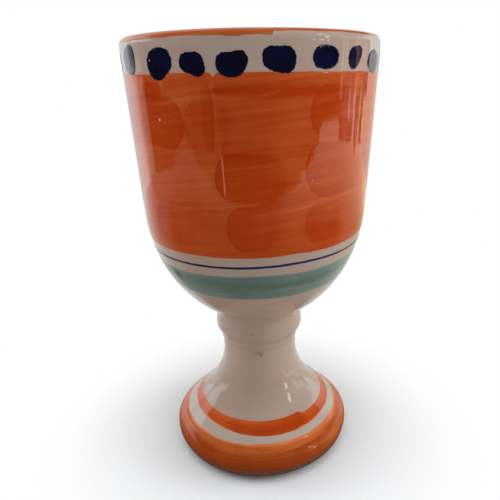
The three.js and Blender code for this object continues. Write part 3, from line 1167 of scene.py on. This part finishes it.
def dab_row():
    """Where the dabs are and how far they reach: the front ones listed, the rest evenly spaced."""
    draw = np.random.default_rng(71)
    rows = [(math.radians(angle), *shape) for angle, *shape in front_dabs]
    for angle in np.radians(np.linspace(*back_dabs, len(dab_nodes) - len(front_dabs))):
        shape = [size + draw.uniform(-0.5, 0.5) for size in usual_dab]
        rows.append((angle + draw.uniform(-0.02, 0.02), *shape))
    return np.array(rows)


def dab_tree():
    """Tree that lays a low ragged button of colour on the bowl's side at every point of a row."""
    sizes = ("Lip radius", "Lip height", "Side slope", "Thickness", "Raggedness", "Hair marks")
    sizes = (*sizes, "Coat edge", "Coat under")
    inputs = {"Row": "Geometry", **dict.fromkeys(sizes, "Float"), "Glaze": "Material"}
    tree, sockets = new_tree("dabs_of_colour", inputs, "Dabs")
    row, lip_r, lip_h, slope, thickness, ragged, hairs, coat_edge, coat_under, glaze = sockets

    def named(name, kind="FLOAT"):
        return row.node("GeometryNodeInputNamedAttribute", {"data_type": kind}, {"Name": name})

    ball = row.node("GeometryNodeMeshUVSphere", sockets={"Segments": 96, "Rings": 16, "Radius": 1.0})
    on_ball = row.node("GeometryNodeInputPosition")
    ball = row.node(
        "GeometryNodeStoreNamedAttribute",
        {"data_type": "FLOAT_VECTOR"},
        {"Geometry": ball, "Name": "on_ball", "Value": on_ball},
    )
    dabs = row.node("GeometryNodeInstanceOnPoints", sockets={"Points": row, "Instance": ball})
    dabs = row.node("GeometryNodeRealizeInstances", sockets={"Geometry": dabs})
    button = named("on_ball", "FLOAT_VECTOR")
    x, y, out = button.part("X"), button.part("Y"), button.part("Z")
    ring = (x * x + y * y) ** 0.5
    ring = ring.math("MAXIMUM", ring, 1e-4)
    right, up = x / ring, y / ring
    compass = row.node("ShaderNodeCombineXYZ", sockets={0: right, 1: up, 2: named("dab_seed")})
    bearing = y.math("ARCTAN2", y, x)
    reach = named("dab_even")
    for waves in range(1, dab_waves + 1):
        swing = bearing * waves
        reach = reach + named(f"dab_across_{waves}") * swing.math("COSINE")
        reach = reach + named(f"dab_upward_{waves}") * swing.math("SINE")
    uneven = (compass.noise(6.0, 3.0) - 0.5) * ragged + (compass.noise(13.0, 2.0) - 0.5) * hairs
    reach = reach * ring * (1 + uneven)
    height = named("dab_height") + up * reach
    turn = named("dab_turn") + right * reach / lip_r
    flatness, stand_off, step_low, step_high = 0.14, 0.3, 0.8 * MM, 0.4 * MM
    dome = out.math("SIGN") * out.math("ABSOLUTE") ** flatness
    over = coat_under * (1 - height.between(coat_edge - step_low, coat_edge + step_high))
    radius = lip_r - slope * (lip_h - height) + dome * thickness + thickness * stand_off + over
    sockets = {0: radius * turn.math("SINE"), 1: 0 - radius * turn.math("COSINE"), 2: height}
    place = row.node("ShaderNodeCombineXYZ", sockets=sockets)
    end_tree(row.node("GeometryNodeSetPosition", sockets={"Geometry": dabs, "Position": place}), glaze)
    return tree


dab_start = bpy.data.meshes.new("dab_row")
dab_start.from_pydata([(0, 0, 0)] * len(dab_nodes), [], [])
dab_table = dab_row()
dab_table[:, 1:] *= MM
dab_swings = np.fft.rfft(dab_table[:, 2:], axis=1) / (2 * dab_waves)
dab_values = {
    "dab_turn": dab_table[:, 0],
    "dab_height": dab_table[:, 1],
    "dab_seed": 3.7 * np.arange(len(dab_nodes)),
    "dab_even": dab_swings[:, 0].real,
}
for waves in range(1, dab_waves + 1):
    share = 1 if waves == dab_waves else 2
    dab_values[f"dab_across_{waves}"] = share * dab_swings[:, waves].real
    dab_values[f"dab_upward_{waves}"] = -share * dab_swings[:, waves].imag
for name, values in dab_values.items():
    dab_start.attributes.new(name, "FLOAT", "POINT").data.foreach_set("value", values.copy())


def navy_colour(place):
    """Deep navy, a little bluer where the brush left it thin."""
    thin = place.noise(140, 2.0).between(0.4, 0.72)
    return thin.blend(paint(10, 11, 34), paint(13, 16, 50))


# as on the stem: a white pinhole in one dab
dab_spots = ((-41.6, 157.2, 0.35, 0.35, 0.4, 0.8, paint(200, 196, 200)),)
dab_sizes = {
    "Lip radius": lip_radius,
    "Lip height": lip_z,
    "Side slope": (belly_radius / belly_depth) * math.tan(math.radians(side_deg)),
    "Thickness": 0.06 * MM,
    "Raggedness": 0.16,
    "Hair marks": 0.22,
    "Coat edge": broad_high_z,
    "Coat under": 0.1 * MM,
    "Glaze": fired_glaze("navy_glaze", spotted(navy_colour, dab_spots, lip_radius)),
}
dabs = grown("dabs_coat", dab_start, dab_tree(), dab_sizes)
finish_clay(dabs)
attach(dabs, "root")
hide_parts(*dab_nodes)

# Floor
# A pale table top that carries the goblet's shadow and fades into the white round it. For mirrored rays it
# glows with its own light, a painted reflection: dim in front and under the foot as painted shadow, cool
# behind and bright at the right.
floor_corners = (
    # to the right and back, in metres
    *((-0.595, -0.345), (0.41, -0.35), (0.6, -0.352), (0.77, -0.4), (0.945, -0.16), (0.755, -0.1)),
    *((0.73, 0.165), (0.65, 0.168), (0.655, 0.185), (0.73, 0.215), (0.7, 0.37), (0.3, 0.45)),
    *((-0.25, 0.4), (-0.4, 0.31), (-0.52, 0.2)),
)
# distances from the goblet's middle, in metres, between which one look of the floor turns into the next
shadow_fade = (0.035, 0.1)
under_foot = (0.04, 0.075)
near_to_far = (0.28, 0.52)
near_window = (0.5, 0.8)
# light that the floor gives off for mirrored rays from each part of it, as painted reflection; under the
# foot and in front it is painted shadow
under_foot_painted_shadow = (0.1, 0.08, 0.06, 1)
front_painted_shadow = (0.07, 0.06, 0.055, 1)
near_left_light = (0.5, 0.44, 0.4, 1)
near_back_light = (0.85, 0.9, 0.88, 1)
near_right_light = (0.54, 0.5, 0.3, 1)
far_left_light = (0.56, 0.43, 0.4, 1)
far_back_light = (1.04, 1.15, 1.2, 1)
far_right_light = (1.3, 1.1, 0.82, 1)
window_light = (2.0, 1.7, 1.3, 1)
floor_material, floor_start = blank_material("pale_floor")
floor_place = floor_start.node("ShaderNodeTexCoord", output="Object")
from_middle = (floor_place.part("X") ** 2 + floor_place.part("Y") ** 2) ** 0.5
seen = floor_start.node("ShaderNodeLightPath", output="Is Camera Ray")
fade = from_middle.between(*shadow_fade) * seen
to_right = floor_place.part("X").between(-0.1, 0.3)
far_right = from_middle.between(*near_window).blend(far_right_light, window_light)
behind = (floor_place.part("Y") / from_middle).between(0.27, 0.68)
far_floor = to_right.blend(behind.blend(far_left_light, far_back_light), far_right)
near_floor = to_right.blend(behind.blend(near_left_light, near_back_light), near_right_light)
in_front = 1 - floor_place.part("Y").between(-0.05, 0.05)
near_floor = in_front.blend(near_floor, front_painted_shadow)
thrown_back = from_middle.between(*near_to_far).blend(near_floor, far_floor)
thrown_back = from_middle.between(*under_foot).blend(under_foot_painted_shadow, thrown_back)
mirrored = floor_start.node("ShaderNodeLightPath", output="Is Glossy Ray")
floor_colour = seen.blend((0.66, 0.64, 0.62, 1), (0.93, 0.93, 0.93, 1))
matt = floor_start.node("ShaderNodeBsdfDiffuse", sockets={"Color": floor_colour})
white = floor_start.node("ShaderNodeEmission", sockets={"Color": (1, 1, 1, 1), "Strength": 1.0})
# painted reflection: the floor glows for mirrored rays
mirror = floor_start.node("ShaderNodeEmission", sockets={"Color": thrown_back, "Strength": 1.0})
floor_surface = floor_start.node("ShaderNodeMixShader", sockets={0: fade, 1: matt, 2: white})
floor_surface = floor_start.node("ShaderNodeMixShader", sockets={0: mirrored, 1: floor_surface, 2: mirror})
floor_start.node("ShaderNodeOutputMaterial", sockets={"Surface": floor_surface})
floor_points = [(x, y, 0) for x, y in floor_corners]
floor = skin("floor", floor_points, [tuple(range(len(floor_points)))], floor_material)

# Light
# A white room with bright windows at the sides and behind, and soft lamps. The side that the goblet faces
# is dim, so that its deep colours stay deep. A curtain hangs at the right.
world = bpy.data.worlds.new("white_room")
bpy.context.scene.world = world
world.use_nodes = True
world.node_tree.nodes.clear()
room = Socket(world.node_tree)
way = room.node("ShaderNodeTexCoord", output="Generated")
round_room = way.math("ARCTAN2", way.part("X"), way.part("Y"))
climb = way.part("Z").math("ARCSINE")
windows = (
    # where the room's brightness changes (degrees to the right of straight behind) and how bright it is
    *((-180, 0.03), (-73.6, 0.03), (-72.4, 0.66), (-65, 0.8), (-60, 1.3), (-57, 1.6), (-50, 1.55)),
    *((-38, 1.2), (-24, 0.85), (27, 0.8), (45, 1.05), (56.5, 1.5), (58, 0.1), (101, 0.03), (180, 0.03)),
)
brightest = 1.7
high_left_light = 1.9
curtain_light = 1.1
room_light = 0.42
# how far the edge of the right window bows as it climbs, and up to what height
right_bow = 1.86
highest_lift = math.radians(22)
cool_left = (0.92, 1.0, 1.06, 1)
warm_left = (1.1, 1.0, 0.88, 1)
cool_right = (0.93, 1.0, 0.98, 1)
warm_right = (1.04, 1.0, 0.86, 1)
glint_yellow = (1.3, 0.9, 0.15, 1)
cloth_russet = (1.5, 0.4, 0.3, 1)
window_stops = [(deg / 360 + 0.5, (light / brightest,) * 3 + (1,)) for deg, light in windows]


def across(value, low, high):
    """Eased step of a direction between two angles in degrees."""
    return value.between(math.radians(low), math.radians(high))


on_right = round_room.between(0.2, 0.6)
lifted = climb.math("MINIMUM", climb, highest_lift)
bowed = round_room - right_bow * lifted * lifted * on_right
window = (bowed / (2 * math.pi) + 0.5).ramp(window_stops)
window = window.part("X") * brightest * (1 - on_right * across(climb, 21, 25))
far_left = 1 - across(round_room, -57, -50)
window = window * (1 - 0.55 * far_left * across(climb, -2.5, 0.3))
past_right = across(bowed, 57, 58)
# a tall window high at the left, and the lit top of the curtain
high_left = across(round_room - climb, -102, -98) * across(climb, 2, 9) * (1 - on_right)
high_left = high_left * (1 - across(climb, 36, 50)) * (1 - 0.65 * across(round_room, -64, -50))
drawn_curtain = past_right * across(climb, 3, 6) * (1 - across(climb, 11, 12.6))
drawn_curtain = drawn_curtain * (1 - across(round_room, 97, 101))
window = window.math("MAXIMUM", window, high_left * high_left_light)
window = window.math("MAXIMUM", window, drawn_curtain * curtain_light)
folds = (
    # where light falls between the folds of the curtain (degrees to the right and above level), half its
    # width and half its height (degrees) and how bright it is
    (96.5, -4.6, 1.6, 2.2, 1.0),
    (96.3, -0.8, 1.2, 3.0, 2.0),
    (92.0, -1.4, 1.1, 3.0, 1.7),
    (84.5, -6.4, 1.9, 2.3, 1.8),
    (81, -6.4, 1.4, 2.2, 0.7),
    (80.5, 0.6, 2.5, 1.2, 0.5),
    (78.6, -1.4, 1.7, 2.8, 0.6),
    (77.3, -7.2, 2.2, 4.2, 1.9),
    (71.5, -8.7, 1.6, 1.5, 0.8),
    (67.8, -7.2, 2.0, 4.4, 1.5),
    (63.5, -5.0, 1.4, 1.8, 0.7),
    (60.0, -6.0, 2.4, 2.5, 1.6),
    (60.5, -9.3, 1.6, 1.4, 0.9),
    (80, -7, 24, 5.2, 0.28),
    (89, -9.0, 5, 3.2, 0.22),
)
glints = (
    # as the folds: places where the curtain glows yellow
    (73.6, -3.7, 3.4, 1.5, 0.6),
    (60.4, -7.9, 1.6, 1.6, 1.0),
    (59.6, -5.2, 1.1, 2.0, 0.6),
)
cloths = (
    # as the folds: a russet cloth that hangs beside the curtain
    (76.4, -1.0, 2.4, 2.8, 0.7),
    (68.0, -1.0, 8.0, 2.8, 0.45),
)
flutter = climb.node("ShaderNodeTexNoise", {"noise_dimensions": "1D"}, {"W": climb * 12})
hanging = round_room + 0.02 * flutter


def gathered(patches):
    """Adds up patches of light on the curtain."""
    total = past_right * 0
    for patch_deg, patch_climb, patch_half, patch_tall, patch_light in patches:
        off = (hanging - math.radians(patch_deg) - 0.01) / math.radians(patch_half)
        lift = (climb - math.radians(patch_climb)) / math.radians(patch_tall)
        off = off.math("ABSOLUTE").between(0.35, 1)
        lift = lift.math("ABSOLUTE").between(0.5, 1)
        total = total + patch_light * (1 - off) * (1 - lift)
    return total


glow = gathered(glints)
russet = gathered(cloths)
curtain = gathered(folds) * past_right + 1.3 * glow + russet
bars = (
    # where a lamp hangs (degrees to the right, and its lowest and highest edge above level), half its width
    # (degrees) and how bright it is
    (113.5, 6, 18.5, 2.8, 6),
    (115, 23, 33, 3.2, 6),
    (113, -0.4, 1.2, 1.3, 5),
    (119.5, -0.4, 1.0, 2.4, 6),
    (127, -0.4, 1.4, 0.8, 4),
)
for bar_deg, bar_low, bar_high, bar_half, bar_light in bars:
    off = round_room - math.radians(bar_deg)
    bar = 1 - across(off.math("ABSOLUTE"), bar_half * 0.7, bar_half)
    blur = 0.1 * (bar_high - bar_low)
    bar = bar * across(climb, bar_low, bar_low + blur) * (1 - across(climb, bar_high - blur, bar_high))
    curtain = curtain + bar_light * bar
bright = window + curtain
raised = across(climb, -3, 3)
left_tint = (far_left * (1 - raised)).blend(cool_left, warm_left)
right_tint = raised.blend(warm_right, cool_right)
room_tint = round_room.between(-0.5, 0.5).blend(left_tint, right_tint)
room_tint = (1.6 * glow).blend(room_tint, glint_yellow)
room_tint = (1.6 * russet).blend(room_tint, cloth_russet)
room_colour = bright.node("ShaderNodeVectorMath", {"operation": "SCALE"}, {0: room_tint, "Scale": bright})
reflected = room.node("ShaderNodeBackground", sockets={"Color": room_colour, "Strength": 1.0})
ambient = room.node("ShaderNodeBackground", sockets={"Color": (1, 1, 1, 1), "Strength": room_light})
backdrop = room.node("ShaderNodeBackground", sockets={"Color": (1, 1, 1, 1), "Strength": 1.0})
glossy = room.node("ShaderNodeLightPath", output="Is Glossy Ray")
through = room.node("ShaderNodeLightPath", output="Is Transmission Ray")
straight_on = room.node("ShaderNodeLightPath", output="Is Camera Ray")
plain_white = straight_on.math("MAXIMUM", straight_on, through)
lit = room.node("ShaderNodeMixShader", sockets={0: glossy, 1: ambient, 2: reflected})
shown = room.node("ShaderNodeMixShader", sockets={0: plain_white, 1: lit, 2: backdrop})
room.node("ShaderNodeOutputWorld", sockets={"Surface": shown})
lamps = (
    # name, place, width, height and power
    ("left_lamp", (-0.68, 0.15, 0.22), 0.4, 0.5, 1.9),
    ("right_lamp", (0.7, -0.08, 0.22), 0.4, 0.5, 2.8),
    ("overhead_lamp", (0.0, -0.2, 0.78), 0.6, 0.6, 2.6),
)
lamp_aim = (0, 0, 0.08)
lamp_colour = (0.95, 1.0, 1.05)
for lamp_name, lamp_place, lamp_width, lamp_height, lamp_power in lamps:
    lamp_data = bpy.data.lights.new(lamp_name, "AREA")
    lamp_data.shape = "RECTANGLE"
    lamp_data.size = lamp_width
    lamp_data.size_y = lamp_height
    lamp_data.energy = lamp_power
    lamp_data.color = lamp_colour
    lamp = bpy.data.objects.new(lamp_name, lamp_data)
    lamp.location = lamp_place
    lamp.rotation_mode = "QUATERNION"
    lamp.rotation_quaternion = (Vector(lamp_place) - Vector(lamp_aim)).to_track_quat("Z", "Y")
    lamp.visible_glossy = False
    bpy.context.collection.objects.link(lamp)

# Camera
# Held close in front of the goblet and a little below its rim, looking down at it. It is turned and tilted
# by a small angle, as a hand holds it.
camera_place = Vector((0.0, -193.67, 151.47)) * MM
# in radians: how far it looks down, how far it is turned to the right, and how far it leans
camera_pitch = 0.3299
camera_yaw = 0.0415
camera_roll = -0.0168
camera_data = bpy.data.cameras.new("camera")
camera_data.lens = 36
camera_data.sensor_width = 36
camera_data.shift_x = -0.0537
camera_data.clip_start = 0.01
level_ahead = Vector((math.sin(camera_yaw), math.cos(camera_yaw), 0))
ahead = math.cos(camera_pitch) * level_ahead - math.sin(camera_pitch) * Vector((0, 0, 1))
level_right = Vector((math.cos(camera_yaw), -math.sin(camera_yaw), 0))
upright = level_right.cross(ahead)
camera_right = math.cos(camera_roll) * level_right + math.sin(camera_roll) * upright
camera_up = math.cos(camera_roll) * upright - math.sin(camera_roll) * level_right
camera = bpy.data.objects.new("camera", camera_data)
camera_axes = Matrix((camera_right, camera_up, -ahead)).transposed()
camera.matrix_world = Matrix.Translation(camera_place) @ camera_axes.to_4x4()
bpy.context.collection.objects.link(camera)
bpy.context.scene.camera = camera
bpy.context.scene.view_settings.view_transform = "Standard"
